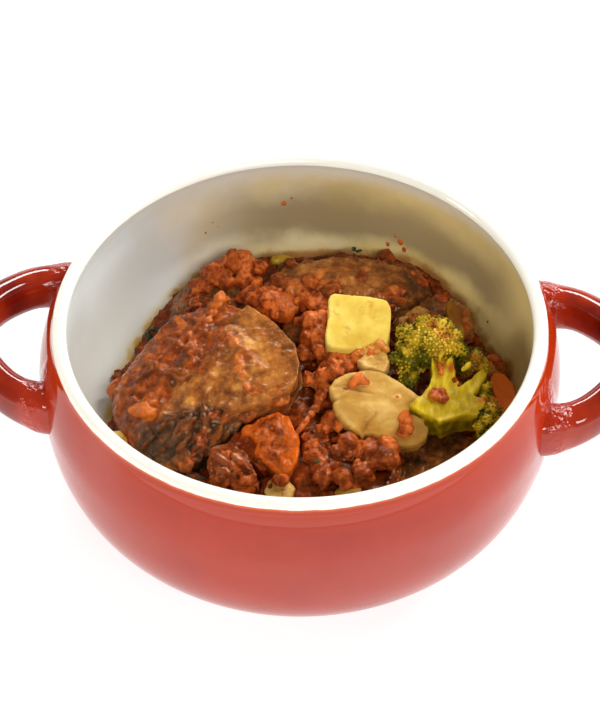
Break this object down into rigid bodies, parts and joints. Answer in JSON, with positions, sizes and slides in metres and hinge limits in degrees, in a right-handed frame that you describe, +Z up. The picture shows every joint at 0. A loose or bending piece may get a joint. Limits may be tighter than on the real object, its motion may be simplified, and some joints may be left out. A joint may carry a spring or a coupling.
{
  "type": "venison stew",
  "caption": "Thick stew of venison slabs with potato, mushroom, carrot and broccoli in a chunky tomato sauce, in the round handled bowl it is served in.",
  "frame": {"origin": "centre of the bowl's foot, on the table it stands on", "axes": "+Z up; +X through the handle on the right of the person eating; +Y away from that person"},
  "size_m": [0.1996, 0.1504, 0.062],
  "materials": {
    "bowl_glaze": "glossy red glaze outside, cream-white glaze inside and on the lip",
    "sauce": "wet, thick, chunky",
    "venison": "wet browned meat with a fine grain",
    "venison_dark": "wet, almost black crust",
    "tomato": "wet, glossy",
    "potato": "moist, smooth cut faces",
    "mushroom": "moist, stained by the sauce",
    "broccoli": "fine buds, smooth moist stem",
    "carrot": "wet, coated with sauce",
    "onion": "wet, translucent, coated with sauce",
    "green_bit": "wet, smooth"
  },
  "bodies": {
    "root": {"bowl": "bowl_glaze", "broccoli": "broccoli", "potato_cube": "potato", "mushroom_slice": "mushroom", "carrot_right": "carrot", "carrot_front": "carrot", "pepper_strip": "green_bit", "venison_left": "venison", "venison_back": "venison", "mushroom_back": "mushroom", "mushroom_small": "mushroom", "mushroom_bit": "mushroom", "venison_right": "venison_dark", "venison_front": "venison_dark", "venison_tucked": "venison", "venison_middle": "venison_dark", "venison_wall": "venison_dark", "onion_front": "onion", "carrot_bit": "carrot", "mushroom_front_left": "mushroom", "mushroom_front": "mushroom", "celery_back": "green_bit", "potato_bit": "potato", "tomato_back_left": "tomato", "tomato_back_round": "tomato", "tomato_back_middle": "tomato", "tomato_on_meat": "tomato", "tomato_middle": "tomato", "tomato_under_potato": "tomato", "tomato_left": "tomato", "tomato_left_end": "tomato", "tomato_front": "tomato", "tomato_skin_front": "onion", "sauce": "sauce"}
  },
  "joints": []
}
